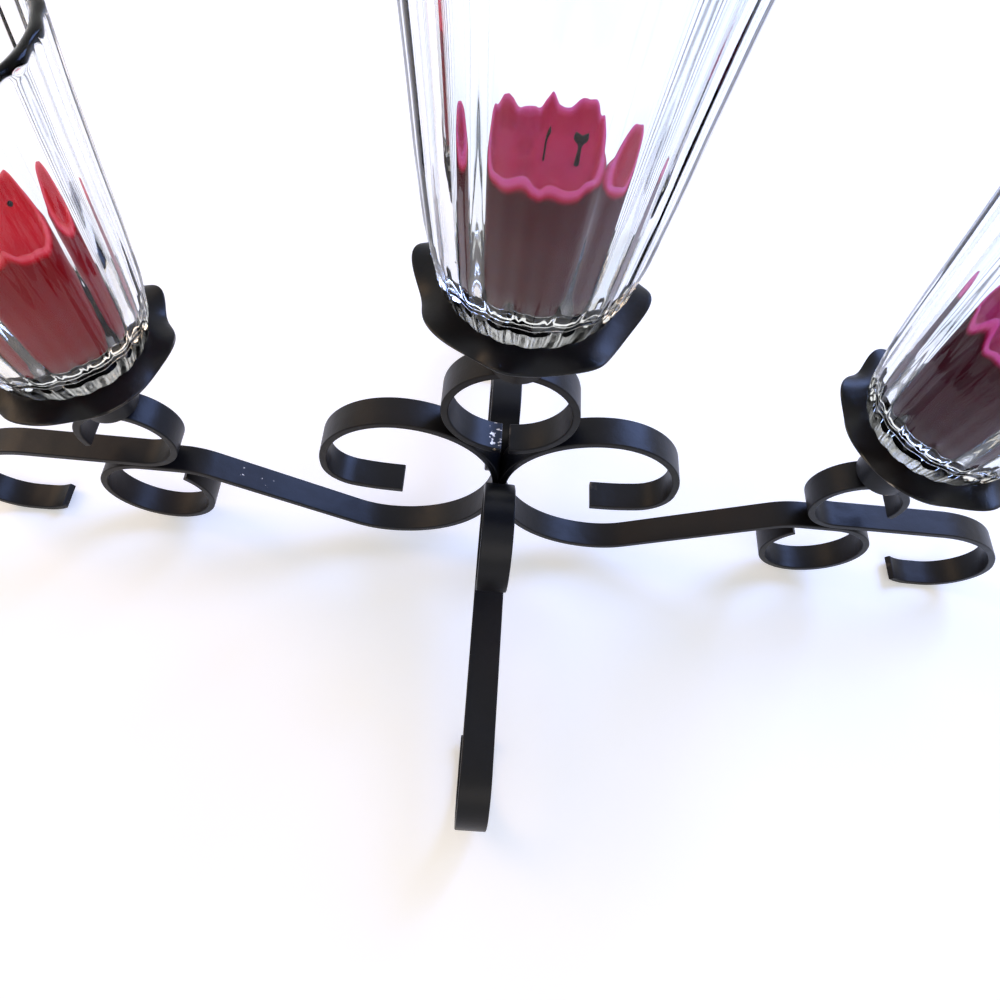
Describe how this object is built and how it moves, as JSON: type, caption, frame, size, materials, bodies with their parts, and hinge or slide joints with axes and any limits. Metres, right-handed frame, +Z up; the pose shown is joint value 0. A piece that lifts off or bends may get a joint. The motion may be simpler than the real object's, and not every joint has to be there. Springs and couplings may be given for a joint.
{
  "type": "candelabra",
  "caption": "Low table candelabra of curled flat iron bar: a row of fluted glass cups with votive candles on ruffled dishes, over scrolled arms and hooked feet.",
  "frame": {"origin": "middle of the stand, on the surface that carries its feet", "axes": "+X along the row of candles, +Y from the front leg to the rear leg, +Z up"},
  "size_m": [0.4988, 0.28, 0.2874],
  "materials": {
    "black_iron": "satin black paint",
    "clear_glass": "pressed clear glass",
    "red_wax": "waxy, half gloss",
    "maroon_wax": "waxy, half gloss",
    "plum_wax": "waxy, half gloss",
    "cotton": "charred braid",
    "tinned_steel": "bright"
  },
  "bodies": {
    "stand": {"arm_left": "black_iron", "arm_right": "black_iron", "outer_leg_left": "black_iron", "outer_leg_right": "black_iron", "leg_front": "black_iron", "leg_rear": "black_iron", "center_ring": "black_iron", "candle_cup_left": "black_iron", "cup_rivet_left": "black_iron", "dish_left": "black_iron", "candle_cup_center": "black_iron", "cup_rivet_center": "black_iron", "dish_center": "black_iron", "candle_cup_right": "black_iron", "cup_rivet_right": "black_iron", "dish_right": "black_iron"},
    "glass_left": {"glass_left": "clear_glass"},
    "candle_left": {"candle_left": "red_wax", "wick_left": "cotton", "wick_clip_left": "tinned_steel"},
    "glass_center": {"glass_center": "clear_glass"},
    "candle_center": {"candle_center": "maroon_wax", "wick_center": "cotton", "wick_clip_center": "tinned_steel"},
    "glass_right": {"glass_right": "clear_glass"},
    "candle_right": {"candle_right": "plum_wax", "wick_right": "cotton", "wick_clip_right": "tinned_steel"}
  },
  "joints": [
    {"name": "glass_left_lift", "type": "slide", "parent": "stand", "child": "glass_left", "axis": [0, 0, 1], "range_m": [0, 0.08]},
    {"name": "candle_left_lift", "type": "slide", "parent": "glass_left", "child": "candle_left", "axis": [0, 0, 1], "range_m": [0, 0.12]},
    {"name": "glass_center_lift", "type": "slide", "parent": "stand", "child": "glass_center", "axis": [0, 0, 1], "range_m": [0, 0.08]},
    {"name": "candle_center_lift", "type": "slide", "parent": "glass_center", "child": "candle_center", "axis": [0, 0, 1], "range_m": [0, 0.12]},
    {"name": "glass_right_lift", "type": "slide", "parent": "stand", "child": "glass_right", "axis": [0, 0, 1], "range_m": [0, 0.08]},
    {"name": "candle_right_lift", "type": "slide", "parent": "glass_right", "child": "candle_right", "axis": [0, 0, 1], "range_m": [0, 0.12]}
  ]
}
